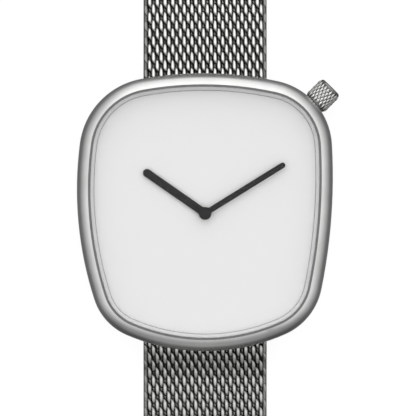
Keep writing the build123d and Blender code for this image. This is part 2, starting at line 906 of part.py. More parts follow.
# Motion work under the dial: cannon pinion, motion wheel, hour wheel and setting wheel
with BuildPart() as cannon_pinion:
    extrude(
        gear_face(motion_wheel_z, center_place, cannon_teeth, motion_module, 0),
        amount=hour_wheel_z - motion_wheel_z - loose,
    )
    disc(
        movement_level(motion_wheel_z),
        center_place,
        cannon_tube_radius,
        minute_hand_z + minute_hub_bore_depth - motion_wheel_z,
    )
    peg(
        movement_level(motion_wheel_z),
        center_place,
        arbor_radius,
        dial_seat_z - motion_wheel_z,
        mode=Mode.SUBTRACT,
    )
write(cannon_pinion.part, "cannon_pinion")

with BuildPart() as motion_wheel:
    extrude(
        gear_face(motion_wheel_z, motion_place, motion_wheel_teeth, motion_module, motion_turn),
        amount=wheel_thickness,
    )
    extrude(
        gear_face(
            motion_wheel_z + wheel_thickness, motion_place, motion_pinion_teeth, hour_module, 0
        ),
        amount=hour_wheel_z - motion_wheel_z,
    )
    peg(
        movement_level(motion_wheel_z),
        motion_place,
        stud_radius + snug,
        dial_seat_z - motion_wheel_z,
        mode=Mode.SUBTRACT,
    )
write(motion_wheel.part, "motion_wheel")

with BuildPart() as hour_wheel:
    extrude(
        gear_face(hour_wheel_z, center_place, hour_wheel_teeth, hour_module, hour_turn),
        amount=wheel_thickness,
    )
    hour_tube_top = hour_hand_z + hour_hand_thickness
    disc(
        movement_level(hour_wheel_z), center_place, hour_tube_radius, hour_tube_top - hour_wheel_z
    )
    disc(
        movement_level(hour_wheel_z),
        center_place,
        cannon_tube_radius + snug,
        hour_tube_top - hour_wheel_z,
        mode=Mode.SUBTRACT,
    )
write(hour_wheel.part, "hour_wheel")

with BuildPart() as setting_wheel:
    extrude(
        gear_face(
            motion_wheel_z, setting_place, setting_wheel_teeth, motion_module, setting_turn
        ),
        amount=wheel_thickness,
    )
    peg(
        movement_level(motion_wheel_z),
        setting_place,
        stud_radius + snug,
        wheel_thickness,
        mode=Mode.SUBTRACT,
    )
write(setting_wheel.part, "setting_wheel")

# Sliding pinion on the stem, ridged along its length
with BuildPart() as sliding_pinion:
    with BuildSketch(crown_plane.offset(sliding_pinion_start)):
        Circle(sliding_pinion_radius)
        groove_count = setting_wheel_teeth
        with PolarLocations(sliding_pinion_radius, groove_count):
            Rectangle(
                sliding_pinion_radius / 3,
                pi * sliding_pinion_radius / groove_count,
                mode=Mode.SUBTRACT,
            )
        Circle(stem_radius + snug, mode=Mode.SUBTRACT)
    extrude(amount=sliding_pinion_length)
write(sliding_pinion.part, "sliding_pinion")

# Hands: flat bars with round ends, on round hubs. The minute hand's hub is closed on top.
hand_sizes = {
    "hour_hand": (
        hour_hand_z,
        hour_hand_thickness,
        hour_hand_length,
        hour_hand_width,
        hour_hand_angle,
        hour_tube_radius,
        hour_hand_thickness,
        hour_hand_thickness,
    ),
    "minute_hand": (
        minute_hand_z,
        minute_hand_thickness,
        minute_hand_length,
        minute_hand_width,
        minute_hand_angle,
        cannon_tube_radius,
        minute_hub_height,
        minute_hub_bore_depth,
    ),
}
for hand_name, sizes in hand_sizes.items():
    hand_z, thickness, length, width, angle, bore, hub_height, bore_depth = sizes
    with BuildPart() as hand:
        pointing = radians(90 - angle)
        hand_plane = Plane(
            origin=(0, 0, hand_z), x_dir=(cos(pointing), sin(pointing), 0), z_dir=(0, 0, 1)
        )
        with BuildSketch(hand_plane):
            with Locations(((length - width / 2) / 2, 0)):
                SlotCenterToCenter(length - width / 2, width)
        extrude(amount=thickness)
        disc(hand_plane, (0, 0), hand_hub_radius, hub_height)
        disc(hand_plane, (0, 0), bore, bore_depth, mode=Mode.SUBTRACT)
    write(hand.part, hand_name)


def link_plane(start, slope, side):
    # A plane along the band from start, (y, z), falling by slope; side is +1 towards 12 o'clock.
    fall = radians(slope)
    return Plane(
        origin=(0, start[0], start[1]),
        x_dir=(0, side * cos(fall), -sin(fall)),
        z_dir=(side, 0, 0),
    )


def link_end(start, slope, side, length):
    fall = radians(slope)
    return (start[0] + side * length * cos(fall), start[1] - length * sin(fall))


def make_strip(name, plane, row_count, end_is_joint):
    # A length of the weave with a pointed joint at its start, and at its end too if it has one.
    length = row_count * row_pitch
    end_flank = joint_flank if end_is_joint else 0
    end_gap = joint_gap if end_is_joint else 0
    with BuildPart() as strip:
        with BuildSketch(plane):
            with BuildLine():
                Polyline(
                    (joint_gap, 0),
                    (joint_flank, band_half_thickness),
                    (length - end_flank, band_half_thickness),
                    (length - end_gap, 0),
                    (length - end_flank, -band_half_thickness),
                    (joint_flank, -band_half_thickness),
                    close=True,
                )
            make_face()
        extrude(amount=band_width / 2, both=True)
        middle_plane = Plane(
            origin=plane.from_local_coords((length / 2, 0, 0)),
            x_dir=plane.z_dir,
            z_dir=plane.y_dir,
        )
        with BuildSketch(middle_plane):
            with GridLocations(
                band_width / band_opening_column_count,
                rows_per_opening_count * row_pitch,
                band_opening_column_count,
                row_count // rows_per_opening_count,
            ):
                Rectangle(band_opening_width, band_opening_length)
        extrude(amount=band_half_thickness + overrun, both=True, mode=Mode.SUBTRACT)
    write(strip.part, name)


def make_end_tube(name, plane):
    # The tube that turns on the spring bar, and the neck that the weave starts from.
    with BuildPart() as end_tube:
        with BuildSketch(plane):
            with BuildLine():
                Polyline(
                    (0, neck_half_thickness),
                    (neck_length - joint_flank, neck_half_thickness),
                    (neck_length - joint_gap, 0),
                    (neck_length - joint_flank, -neck_half_thickness),
                    (0, -neck_half_thickness),
                    close=True,
                )
            make_face()
            Circle(end_tube_radius)
            Circle(end_tube_bore, mode=Mode.SUBTRACT)
        extrude(amount=band_width / 2, both=True)
    write(end_tube.part, name)


def make_end_piece(name, plane, length, half_height, corner):
    # A bar closed over the square end of a strip, which sits in its slot.
    with BuildPart() as end_piece:
        with BuildSketch(plane):
            with Locations((length / 2 - strip_seat_depth, 0)):
                RectangleRounded(length, 2 * half_height, corner)
            with Locations((-strip_seat_depth, 0)):
                Rectangle(
                    2 * strip_seat_depth, 2 * (band_half_thickness + snug), mode=Mode.SUBTRACT
                )
        extrude(amount=band_width / 2, both=True)
    write(end_piece.part, name)


# Band: on each side the neck is level, the first strip falls, and the rest lie level
tail_plane = None
for end_name, side, bar_y, row_counts in (
    ("upper", 1, bar_upper_y, upper_row_counts),
    ("lower", -1, bar_lower_y, lower_row_counts),
):
    place = (bar_y, bar_z)
    make_end_tube(f"{end_name}_end_tube", link_plane(place, 0, side))
    place = link_end(place, 0, side, neck_length)
    first_length = row_counts[0] * row_pitch
    slope = degrees(atan2(bar_z - band_lie_z, sqrt(first_length**2 - (bar_z - band_lie_z) ** 2)))
    for number, row_count in enumerate(row_counts, start=1):
        end_is_joint = side < 0 or number < len(row_counts)
        make_strip(
            f"{end_name}_mesh_{number}", link_plane(place, slope, side), row_count, end_is_joint
        )
        print(f"{end_name} joint {number} at y {place[0]:.4f} z {place[1]:.4f}")
        place = link_end(place, slope, side, row_count * row_pitch)
        slope = 0
    if side > 0:
        make_end_piece(
            "catch_bar",
            link_plane(place, 0, side),
            catch_bar_length,
            catch_bar_half_height,
            catch_bar_corner,
        )
    else:
        print(f"tail joint at y {place[0]:.4f} z {place[1]:.4f}")
        tail_plane = link_plane(place, 0, side)
        tail_y = place[0]
        make_strip("lower_tail_mesh", tail_plane, tail_row_count, False)
        make_end_piece(
            "tail_tip",
            link_plane(link_end(place, 0, side, tail_row_count * row_pitch), 0, side),
            tail_tip_length,
            tail_tip_half_height,
            tail_tip_corner,
        )

# Clasp: an open channel round the tail, bridged at both ends, with two hinged lids
clasp_inner_half = band_width / 2 + clasp_side_gap
clasp_outer_half = clasp_inner_half + clasp_wall
hinge_height = clasp_hinge_z - band_lie_z
floor_height = -band_lie_z
with BuildPart() as clasp_base:
    with BuildSketch(tail_plane):
        with Locations((clasp_start, floor_height)):
            Rectangle(clasp_length, clasp_wall_top_z, align=(Align.MIN, Align.MIN))
        for hinge in (clasp_lock_hinge, clasp_cover_hinge):
            with Locations((hinge, hinge_height)):
                Circle(clasp_ear_radius)
            with Locations((hinge, hinge_height)):
                Rectangle(
                    2 * clasp_ear_radius,
                    hinge_height - floor_height,
                    align=(Align.CENTER, Align.MAX),
                )
            with Locations((hinge, hinge_height)):
                Circle(clasp_pin_radius, mode=Mode.SUBTRACT)
    extrude(amount=clasp_outer_half, both=True)
    with BuildSketch(tail_plane):
        with Locations((clasp_start - overrun, floor_height + clasp_floor)):
            Rectangle(
                clasp_length + 2 * overrun,
                clasp_hinge_z + clasp_ear_radius,
                align=(Align.MIN, Align.MIN),
            )
    extrude(amount=clasp_inner_half, both=True, mode=Mode.SUBTRACT)
write(clasp_base.part, "clasp_base")

for lid_name, hinge, lid_length, lip_drop in (
    ("lock", clasp_lock_hinge, clasp_lock_length, clasp_lip_drop),
    ("cover", clasp_cover_hinge, clasp_cover_length, clasp_lip_drop),
):
    with BuildPart() as hinge_pin:
        with BuildSketch(tail_plane):
            with Locations((hinge, hinge_height)):
                Circle(clasp_pin_radius)
        extrude(amount=clasp_outer_half, both=True)
    write(hinge_pin.part, f"clasp_{lid_name}_pin")
    with BuildPart() as lid:
        with BuildSketch(tail_plane):
            with Locations((hinge, hinge_height)):
                Circle(clasp_knuckle_radius)
                Rectangle(
                    lid_length, clasp_lid_thickness, align=(Align.MIN, Align.CENTER)
                )
            with Locations((hinge + lid_length, hinge_height + clasp_lid_thickness / 2)):
                Rectangle(
                    clasp_lip_length,
                    clasp_lid_thickness + lip_drop,
                    align=(Align.MAX, Align.MAX),
                )
            with Locations((hinge, hinge_height)):
                Circle(clasp_pin_radius + snug, mode=Mode.SUBTRACT)
        extrude(amount=clasp_inner_half - loose, both=True)
    write(lid.part, f"clasp_{lid_name}")
print(f"clasp hinges at y {tail_y - clasp_lock_hinge:.4f} and {tail_y - clasp_cover_hinge:.4f}")
print("motion", movement_level(0).from_local_coords((*motion_place, 0)))
print("setting", movement_level(0).from_local_coords((*setting_place, 0)))
print("intermediate", movement_level(0).from_local_coords((*intermediate_place, 0)))
print("rotor", movement_level(0).from_local_coords((*rotor_place, 0)))
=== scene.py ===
# Pebble-shaped wristwatch on a Milanese band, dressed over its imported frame.
# Metres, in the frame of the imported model: +Y to 12 o'clock, +Z out of the dial.
import json
import math

import bmesh
import bpy
from mathutils import Matrix, Vector
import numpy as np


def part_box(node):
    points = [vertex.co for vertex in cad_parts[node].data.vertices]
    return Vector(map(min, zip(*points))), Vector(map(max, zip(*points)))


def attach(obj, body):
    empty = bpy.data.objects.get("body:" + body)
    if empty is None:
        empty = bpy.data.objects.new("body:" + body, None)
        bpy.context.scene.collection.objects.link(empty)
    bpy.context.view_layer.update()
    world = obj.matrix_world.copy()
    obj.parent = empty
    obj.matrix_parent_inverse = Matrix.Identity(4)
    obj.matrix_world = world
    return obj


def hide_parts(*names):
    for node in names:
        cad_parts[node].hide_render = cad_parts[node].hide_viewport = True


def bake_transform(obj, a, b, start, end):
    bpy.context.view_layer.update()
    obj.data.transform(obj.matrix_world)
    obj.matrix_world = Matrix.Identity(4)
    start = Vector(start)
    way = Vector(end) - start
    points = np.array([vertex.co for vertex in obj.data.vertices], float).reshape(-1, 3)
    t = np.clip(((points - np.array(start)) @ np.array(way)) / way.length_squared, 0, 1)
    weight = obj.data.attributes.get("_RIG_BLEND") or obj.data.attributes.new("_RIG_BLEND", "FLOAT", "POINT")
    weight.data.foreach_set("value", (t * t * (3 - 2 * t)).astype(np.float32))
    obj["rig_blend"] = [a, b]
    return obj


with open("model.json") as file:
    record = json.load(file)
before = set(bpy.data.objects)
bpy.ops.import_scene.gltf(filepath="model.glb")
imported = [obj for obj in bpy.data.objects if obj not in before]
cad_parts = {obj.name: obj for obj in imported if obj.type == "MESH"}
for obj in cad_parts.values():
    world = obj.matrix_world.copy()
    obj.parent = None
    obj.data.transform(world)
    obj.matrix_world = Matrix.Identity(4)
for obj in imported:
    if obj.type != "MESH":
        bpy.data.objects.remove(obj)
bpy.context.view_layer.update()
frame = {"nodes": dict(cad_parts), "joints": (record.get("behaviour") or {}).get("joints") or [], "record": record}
mm = 0.001
print("frame loaded")


def deselectAll():
    if bpy.context.object and bpy.context.object.mode != "OBJECT":
        bpy.ops.object.mode_set(mode="OBJECT")
    bpy.ops.object.select_all(action="DESELECT")


def makeActive(piece):
    deselectAll()
    piece.select_set(True)
    bpy.context.view_layer.objects.active = piece


def applyPlace(piece):  # puts the object's place, turn and scale into its mesh
    makeActive(piece)
    bpy.ops.object.transform_apply(location=True, rotation=True, scale=True)


def joinPieces(pieces, name):
    deselectAll()
    for piece in pieces:
        piece.select_set(True)
    bpy.context.view_layer.objects.active = pieces[0]
    bpy.ops.object.join()
    joined = bpy.context.object
    joined.name = name
    joined.data.name = name
    return joined


def curveToMesh(name, curve):
    piece = bpy.data.objects.new(name, curve)
    bpy.context.scene.collection.objects.link(piece)
    makeActive(piece)
    bpy.ops.object.convert(target="MESH")
    bpy.ops.object.shade_smooth()
    return bpy.context.object


# Materials. Links are {input: source}, and a source is a pair: a node and the name of its output.

def hexToLinear(code):
    values = [int(code[i:i + 2], 16) / 255 for i in (1, 3, 5)]
    return tuple(v / 12.92 if v <= 0.04045 else ((v + 0.055) / 1.055) ** 2.4 for v in values) + (1,)


def linkInputs(material, node, links):
    for key, (source, output) in links.items():
        material.node_tree.links.new(source.outputs[output], node.inputs[key])


def addNode(material, kind, settings=None, links=None):
    # settings go to the node's own fields or to its inputs; a ramp's stops are hex codes or linear colours
    node = material.node_tree.nodes.new(kind)
    for key, value in (settings or {}).items():
        if key == "stops":
            elements = node.color_ramp.elements
            while len(elements) < len(value):
                elements.new(0.5)
            for element, (place, colour) in zip(elements, value):
                element.position = place
                element.color = hexToLinear(colour) if isinstance(colour, str) else colour
        elif isinstance(key, str) and hasattr(node, key):
            setattr(node, key, value)
        else:
            node.inputs[key].default_value = value
    linkInputs(material, node, links or {})
    return node


def startMaterial(name, settings):
    material = bpy.data.materials.new(name)
    material.use_nodes = True
    shader = material.node_tree.nodes["Principled BSDF"]
    for key, value in settings.items():
        shader.inputs[key].default_value = value
    return material, shader


def dressShader(material, shader, pattern, finish):
    # the pattern picks the tint and the roughness, and gives the bump, as far as the finish names them
    if "tints" in finish:
        tint = addNode(material, "ShaderNodeValToRGB", {"stops": finish["tints"]}, {"Fac": pattern})
        linkInputs(material, shader, {"Base Color": (tint, "Color")})
    if "rough" in finish:
        low, high = finish["rough"]
        rough = addNode(material, "ShaderNodeMapRange", {"To Min": low, "To Max": high}, {"Value": pattern})
        linkInputs(material, shader, {"Roughness": (rough, "Result")})
    if "bump" in finish:
        settings = {"Strength": finish["bump"], "Distance": finish.get("depthMm", 0.01) * mm}
        bump = addNode(material, "ShaderNodeBump", settings, {"Height": pattern})
        linkInputs(material, shader, {"Normal": (bump, "Normal")})


def addGrain(material, shader, grain):
    # a fine pattern that is fixed to the piece, of this size in mm; where it is stretched it shows as lines
    coords = addNode(material, "ShaderNodeTexCoord")
    place = (coords, "Object")
    if "stretch" in grain:
        settings = {"Rotation": (0, 0, math.radians(grain.get("turn", 0))), "Scale": grain["stretch"]}
        place = (addNode(material, "ShaderNodeMapping", settings, {"Vector": place}), "Vector")
    settings = {"Scale": 1 / (grain["sizeMm"] * mm), "Detail": grain.get("detail", 2.0)}
    noise = addNode(material, "ShaderNodeTexNoise", settings, {"Vector": place})
    dressShader(material, shader, (noise, "Fac"), grain)


def makeBlastedSteel():
    # 316L stainless steel, finely bead-blasted: a soft, even sheen with a faint grain
    patches = {"sizeMm": 3.0, "detail": 3.0, "tints": [(0.3, "#cdcdcc"), (0.7, "#d8d8d7")]}
    grain = {"sizeMm": 0.09, "rough": (0.25, 0.37), "bump": 0.12}
    material, shader = startMaterial("blastedStainlessSteel", {"Metallic": 1.0, "Roughness": 0.3})
    addGrain(material, shader, patches)
    addGrain(material, shader, grain)
    return material


# the weave's own attribute, the wire's light level, picks the wire's tint: painted light, with painted shade where
# the wire lies deep between the turns and a painted highlight on the crests
wireTints = {"deep": (0.3, "#1e1e1e"), "side": (0.5, "#848482"), "crest": (0.85, "#dededc")}


def makeWireSteel():
    # drawn stainless wire with painted light: a painted highlight on the weave's crests, partly real polish from
    # rubbing, and painted shade, dull and darker, between the turns
    drawMarks = {"sizeMm": 0.12, "rough": (0.26, 0.42), "bump": 0.15}
    material, shader = startMaterial("drawnStainlessWire", {"Metallic": 1.0, "Roughness": 0.3})
    height = addNode(material, "ShaderNodeAttribute", {"attribute_name": "wireHeight"})
    tints = [(0.0, wireTints["deep"][1]), wireTints["deep"], wireTints["side"], wireTints["crest"]]
    dressShader(material, shader, (height, "Fac"), {"tints": tints})
    addGrain(material, shader, drawMarks)
    return material


def makeBrushedSteel():
    # pressed stainless sheet, brushed across the band: fine parallel lines that stretch the highlights
    brush = {
        "sizeMm": 0.07, "stretch": (0.07 / 3.0, 1, 1),  # a line is 0.07 mm wide and 3 mm long
        "tints": [(0.3, "#b9b9b8"), (0.7, "#cfcfce")], "rough": (0.24, 0.42), "bump": 0.25,
    }
    material, shader = startMaterial("brushedStainlessSteel", {"Metallic": 1.0, "Roughness": 0.32})
    addGrain(material, shader, brush)
    return material


def makePolishedSteel():
    # turned and polished stainless steel: spring bars, stem and pins
    polish = {"sizeMm": 0.2, "tints": [(0.3, "#c6c6c4"), (0.7, "#d6d6d4")], "rough": (0.13, 0.24)}
    material, shader = startMaterial("polishedStainlessSteel", {"Metallic": 1.0, "Roughness": 0.18})
    addGrain(material, shader, polish)
    return material


def makeKnurledSteel():
    # knurled stainless steel with painted light: painted highlights on the diamonds' tops, and painted shade in
    # the grooves
    knurl = {"tints": [(0.0, "#1e1e1e"), (0.5, "#6a6a69"), (0.8, "#cbcbc9")]}  # groove, flank and top: painted shade, mid tone and painted highlight
    marks = {"sizeMm": 0.15, "rough": (0.2, 0.34)}
    material, shader = startMaterial("knurledStainlessSteel", {"Metallic": 1.0, "Roughness": 0.28})
    height = addNode(material, "ShaderNodeAttribute", {"attribute_name": "knurlHeight"})
    dressShader(material, shader, (height, "Fac"), knurl)
    addGrain(material, shader, marks)
    return material


def makeCrystalGlass():
    # hardened mineral glass with an anti-reflective coat on both faces, which leaves about a tenth of bare
    # glass's mirror image: the low IOR gives that, and it lets the light through to the dial
    glass = {"colour": "#fefefe", "rough": 0.02, "ior": 1.12, "turnsInside": 1.5}
    material, shader = startMaterial("hardenedMineralGlass", {
        "Base Color": hexToLinear(glass["colour"]), "Roughness": glass["rough"],
        "IOR": glass["ior"], "Transmission Weight": 1.0,
    })
    ways = addNode(material, "ShaderNodeLightPath")
    either = {"operation": "MAXIMUM"}
    lights = {0: (ways, "Is Shadow Ray"), 1: (ways, "Is Diffuse Ray")}
    lit = addNode(material, "ShaderNodeMath", either, lights)
    # light that stays caught between the two faces leaves after its second turn, or the rim would be black
    limit = {"operation": "GREATER_THAN", 1: glass["turnsInside"]}
    caught = addNode(material, "ShaderNodeMath", limit, {0: (ways, "Glossy Depth")})
    passed = addNode(material, "ShaderNodeMath", either, {0: (lit, "Value"), 1: (caught, "Value")})
    clear = addNode(material, "ShaderNodeBsdfTransparent")
    mix = addNode(
        material, "ShaderNodeMixShader", None, {0: (passed, "Value"), 1: (shader, "BSDF"), 2: (clear, "BSDF")}
    )
    linkInputs(material, material.node_tree.nodes["Material Output"], {"Surface": (mix, "Shader")})
    return material


def makeLacquer(name, light, dark, grainMm, rough, bump, gloss=0.5):
    # sprayed lacquer or moulded plastic: a near-even colour with a fine orange-peel grain
    grain = {
        "sizeMm": grainMm, "detail": 3.0,
        "tints": [(0.25, dark), (0.75, light)], "rough": rough, "bump": bump,
    }
    material, shader = startMaterial(name, {"Roughness": rough[1], "IOR": 1.5, "Specular IOR Level": gloss})
    addGrain(material, shader, grain)
    return material


def makeRingPlastic():
    # moulded acetal, with painted shade in the fine gap at its foot, where it stands on the dial
    ring = {"light": "#dedede", "dark": "#d6d6d6", "gap": "#868686", "foot": 4.66 * mm, "clear": 4.86 * mm}
    material = makeLacquer("paleRingAcetal", ring["light"], ring["dark"], 0.2, (0.35, 0.5), 0.05)
    shader = material.node_tree.nodes["Principled BSDF"]
    plain = shader.inputs["Base Color"].links[0].from_node
    # painted shade: the colour darkens from clear down to the foot
    coords = addNode(material, "ShaderNodeTexCoord")
    split = addNode(material, "ShaderNodeSeparateXYZ", None, {"Vector": (coords, "Object")})
    heights = {"From Min": ring["foot"], "From Max": ring["clear"]}
    above = addNode(material, "ShaderNodeMapRange", heights, {"Value": (split, "Z")})
    mix = addNode(
        material, "ShaderNodeMix",
        {"data_type": "RGBA", 6: hexToLinear(ring["gap"])},  # 6, 7 and output 2 are the node's colours
        {"Factor": (above, "Result"), 7: (plain, "Color")},
    )
    linkInputs(material, shader, {"Base Color": (mix, 2)})
    return material


def makeMachinedMetal(name, light, dark, lineMm, rough):
    # plated, milled or stamped movement metal with faint straight machining lines
    lines = {
        "sizeMm": lineMm, "turn": 45, "stretch": (1, 0.04, 1),
        "tints": [(0.3, dark), (0.7, light)], "rough": rough,
    }
    material, shader = startMaterial(name, {"Metallic": 1.0, "Roughness": rough[1]})
    addGrain(material, shader, lines)
    return material


def makeCopperWinding():
    # enamelled copper wire wound round the core: dark lines between bundles of turns
    winding = {
        "radianMm": 0.12, "turn": -45,
        "tints": [(0.1, "#7a3a1c"), (0.5, "#c8703c")], "bump": 0.5, "depthMm": 0.03,
    }
    waveRadians = 20  # how far the wave texture turns in each unit
    material, shader = startMaterial("enamelledCopperWinding", {"Metallic": 0.9, "Roughness": 0.3})
    coords = addNode(material, "ShaderNodeTexCoord")
    turn = {"Rotation": (0, 0, math.radians(winding["turn"]))}
    turned = addNode(material, "ShaderNodeMapping", turn, {"Vector": (coords, "Object")})
    scale = 1 / (winding["radianMm"] * mm) / waveRadians
    settings = {"Scale": scale, "wave_type": "BANDS", "bands_direction": "X"}
    turns = addNode(material, "ShaderNodeTexWave", settings, {"Vector": (turned, "Vector")})
    dressShader(material, shader, (turns, "Fac"), winding)
    return material


# after the name: light and dark colours, grain or line size in mm, roughness, and a lacquer's bump
finishes = {
    "polished_steel": makePolishedSteel(),
    "mesh_steel": makeBrushedSteel(),
    "brushed_steel": makeBrushedSteel(),
    "mineral_glass": makeCrystalGlass(),
    "gasket_rubber": makeLacquer("nitrileRubber", "#6c6c6c", "#5c5c5c", 0.3, (0.45, 0.6), 0.1),
    "dial_paint": makeLacquer("mattWhiteDialLacquer", "#e1e1e1", "#dddddd", 0.12, (0.5, 0.62), 0.06),
    "ring_plastic": makeRingPlastic(),
    "hand_paint": makeLacquer("mattBlackHandLacquer", "#262626", "#1c1c1c", 0.1, (0.5, 0.62), 0.08, gloss=0.2),
    "holder_plastic": makeLacquer("whiteMovementHolderAcetal", "#dcdcd8", "#d0d0cc", 0.4, (0.4, 0.55), 0.1),
    "plate_brass": makeMachinedMetal("goldPlatedBrass", "#d8bd74", "#c2a258", 0.08, (0.24, 0.4)),
    "battery_steel": makeMachinedMetal("nickelPlatedSteel", "#cfcfc9", "#b9b9b3", 0.15, (0.18, 0.32)),
    "board_green": makeLacquer("greenSolderMask", "#1f6a3c", "#17552f", 0.5, (0.3, 0.45), 0.1),
    "coil_copper": makeCopperWinding(),
    "stator_iron": makeMachinedMetal("permalloySheet", "#a8a8a6", "#8f8f8d", 0.1, (0.3, 0.5)),
}
blastedSteel = makeBlastedSteel()
blastedNodes = ["case", "case_back"]
wireSteel = makeWireSteel()
for row in frame["record"]["subparts"]:
    for holder in frame["nodes"][row["node"]].material_slots:
        holder.material = blastedSteel if row["node"] in blastedNodes else finishes[row["material_slot"]]
print("materials made")


# Woven band: every row is one flattened wire coil across the band, hooked into the next row

weave = {
    "wireRadius": 0.19 * mm,
    "wireSmooth": 2,  # the bevel's steps for each quarter of the wire
    "turnPitch": 1.125 * mm,
    "turns": 15.5,
    "pointsPerTurn": 16,
    "rowPitch": 1.18 * mm,
    "sidestep": 0.06 * mm,
    "halfLength": 0.92 * mm,  # of a coil, along the band
    "halfDepth": 0.4 * mm,
    "lengthPower": 0.9,  # below 1, these make the coil fuller than an oval
    "depthPower": 0.75,
    "steadyCrest": 1.0,  # how much less the wire leans along its crests than it would on an even helix
    "steadyLeg": 0.2,  # the lower legs lean more and show as slanted strokes between the crests
    "crestWidening": 0.5,  # how much wider than drawn the wire is where the crests are rolled flat
    "crestFade": 1.6,  # that ends this many half lengths of the bright oval from the crest's middle
    "legWidening": 1.35,  # the same for the lower legs, which close the weave
    "halfThickness": 0.655 * mm,
    "shingle": math.radians(12),  # each coil lies on the one nearer the case, so its crests face outward
    "halfWidth": 9.0 * mm,
    "lieHeight": 1.3 * mm,
    "slopeReach": 0.2 * mm,  # how far on each side of a row its slope is taken
    "endCover": 0.05 * mm,  # the rows' cut ends stay this deep in the soldered edges
    "bend": 4.0 * mm,  # the weave turns smoothly over this much on each side of a joint
    "rowsPastJoint": 6,  # of the last piece that bends
    "edge": {"radius": 0.32 * mm, "flat": 0.3 * mm, "step": 0.6 * mm, "smooth": 2},
}
wireLevels = {
    # how the wire's painted light level comes about
    "halfWidth": 0.3 * mm,  # half sizes of the bright oval on each crest, partly rubbed polish and partly painted highlight
    "halfLength": 0.7 * mm,
    "ovalEnd": 1.25,  # where the oval has faded out, and over how much, in squared radii
    "ovalFade": 0.5,
    "wearAndHighlight": 0.5,  # what the oval adds
    "legDepth": 0.46 * mm,  # the lower legs down to here show between the crests
    "legHalfLine": 0.22 * mm,  # half width of the paler line along a lower leg, a painted highlight in the leg's painted shade
    "legLine": 0.25,  # what the line adds
    "edge": 0.39,
    "outside": 8.35 * mm,  # from there on the rows are duller
    "outsideLimit": 0.52,
}
bandEnds = {
    # anchor is the first joint past the fall; the weave rises from the lie to startHeight towards the case
    # lift and limit act on the wire's light level as painted light that differs between the ends: the photo's
    # lower crests are duller, and their flanks paler
    "upper": {
        "side": 1, "anchor": 33.9345 * mm, "start": 18.6 * mm,
        "fallStart": 19.6 * mm, "fallLength": 9.0 * mm, "startHeight": 2.2 * mm,
        "lift": 1.03, "limit": 0.85,
        "bodies": ["upper_end"] + [f"upper_{i}" for i in range(1, 6)],
        "nodes": [f"upper_mesh_{i}" for i in range(1, 6)],
    },
    "lower": {
        "side": -1, "anchor": 23.9428 * mm, "start": 18.4 * mm,
        "fallStart": 19.3 * mm, "fallLength": 5.0 * mm, "startHeight": 2.5 * mm,
        "lift": 1.14, "limit": 0.73,
        "bodies": ["lower_end"] + [f"lower_{i}" for i in range(1, 7)] + ["tail"],
        "nodes": [f"lower_mesh_{i}" for i in range(1, 7)] + ["lower_tail_mesh"],
    },
}


def clamp(value, low, high):
    return min(max(value, low), high)


def bandHeight(end, away):
    share = clamp((away - end["fallStart"]) / end["fallLength"], 0, 1)
    eased = share * share * (3 - 2 * share)
    return weave["lieHeight"] + (end["startHeight"] - weave["lieHeight"]) * (1 - eased)


def rowPlaces(end, rowsOut):
    # distances from the hands' axis of the rows' middles: evenly spaced outward, along the slope inward
    places = [end["anchor"] + (row + 0.5) * weave["rowPitch"] for row in range(rowsOut)]
    away, walked, needed = end["anchor"], 0, weave["rowPitch"] / 2
    step = 0.01 * mm
    while away > end["start"]:
        rise = bandHeight(end, away - step) - bandHeight(end, away)
        walked += math.hypot(step, rise)
        away -= step
        if walked >= needed:
            places.insert(0, away)
            needed += weave["rowPitch"]
    return places


def wirePoint(angle):
    # a point on the coil's middle line, where angle is how far the wire has gone round
    steady = weave["steadyCrest"] if math.sin(angle) > 0 else weave["steadyLeg"]
    turned = angle + steady / 2 * math.sin(2 * angle)
    across = turned / (2 * math.pi) * weave["turnPitch"] - weave["turns"] * weave["turnPitch"] / 2
    swing = math.copysign(abs(math.cos(angle)) ** weave["lengthPower"], math.cos(angle))
    lift = math.copysign(abs(math.sin(angle)) ** weave["depthPower"], math.sin(angle))
    return across, weave["halfLength"] * swing, weave["halfDepth"] * lift


def wireLevel(place, aside):
    # painted light: the wire is painted darker the deeper it lies, as painted shade between the turns; the bright
    # oval on each crest is painted highlight and rubbed polish; the lower legs get painted shade with a paler
    # painted line along them
    deep, side = wireTints["deep"][0], wireTints["side"][0]
    if -wireLevels["legDepth"] < place.z < 0:
        return deep + wireLevels["legLine"] * max(1 - (aside / wireLevels["legHalfLine"]) ** 2, 0)
    oval = (aside / wireLevels["halfWidth"]) ** 2 + (place.y / wireLevels["halfLength"]) ** 2
    wearAndHighlight = clamp((wireLevels["ovalEnd"] - oval) / wireLevels["ovalFade"], 0, 1)
    return deep + (side - deep) * abs(place.z) / weave["halfThickness"] + wireLevels["wearAndHighlight"] * wearAndHighlight


def makeWireRow():
    # one coil: it goes round a flattened oval on its way across the band
    curve = bpy.data.curves.new("wireRow", "CURVE")
    curve.dimensions = "3D"
    curve.bevel_depth = weave["wireRadius"]
    curve.bevel_resolution = weave["wireSmooth"]
    spline = curve.splines.new("POLY")
    count = int(weave["turns"] * weave["pointsPerTurn"]) + 1
    spline.points.add(count - 1)
    for i in range(count):
        spline.points[i].co = wirePoint(2 * math.pi * i / weave["pointsPerTurn"]) + (1,)
    middles = [point.co.x for point in spline.points]
    row = curveToMesh("wireRow", curve)
    # rolled flat: wider across, and no thicker than the strip
    ring = len(row.data.vertices) // count
    # each point's painted light level, from painted shade deep down to a painted highlight on the crests
    height = row.data.attributes.new("wireHeight", "FLOAT", "POINT")
    for vertex in row.data.vertices:
        fromCrest = abs(vertex.co.y) / wireLevels["halfLength"]
        widening = weave["legWidening"]
        if vertex.co.z > 0:
            widening = weave["crestWidening"] * clamp(weave["crestFade"] - fromCrest, 0, 1)
        middle = middles[vertex.index // ring]
        aside = (vertex.co.x - middle) * (1 + widening)
        vertex.co.x = middle + aside
        vertex.co.z = clamp(vertex.co.z, -weave["halfThickness"], weave["halfThickness"])
        height.data[vertex.index].value = wireLevel(vertex.co, aside)
    print("wire row:", len(row.data.vertices), "points in rings of", ring)
    return row


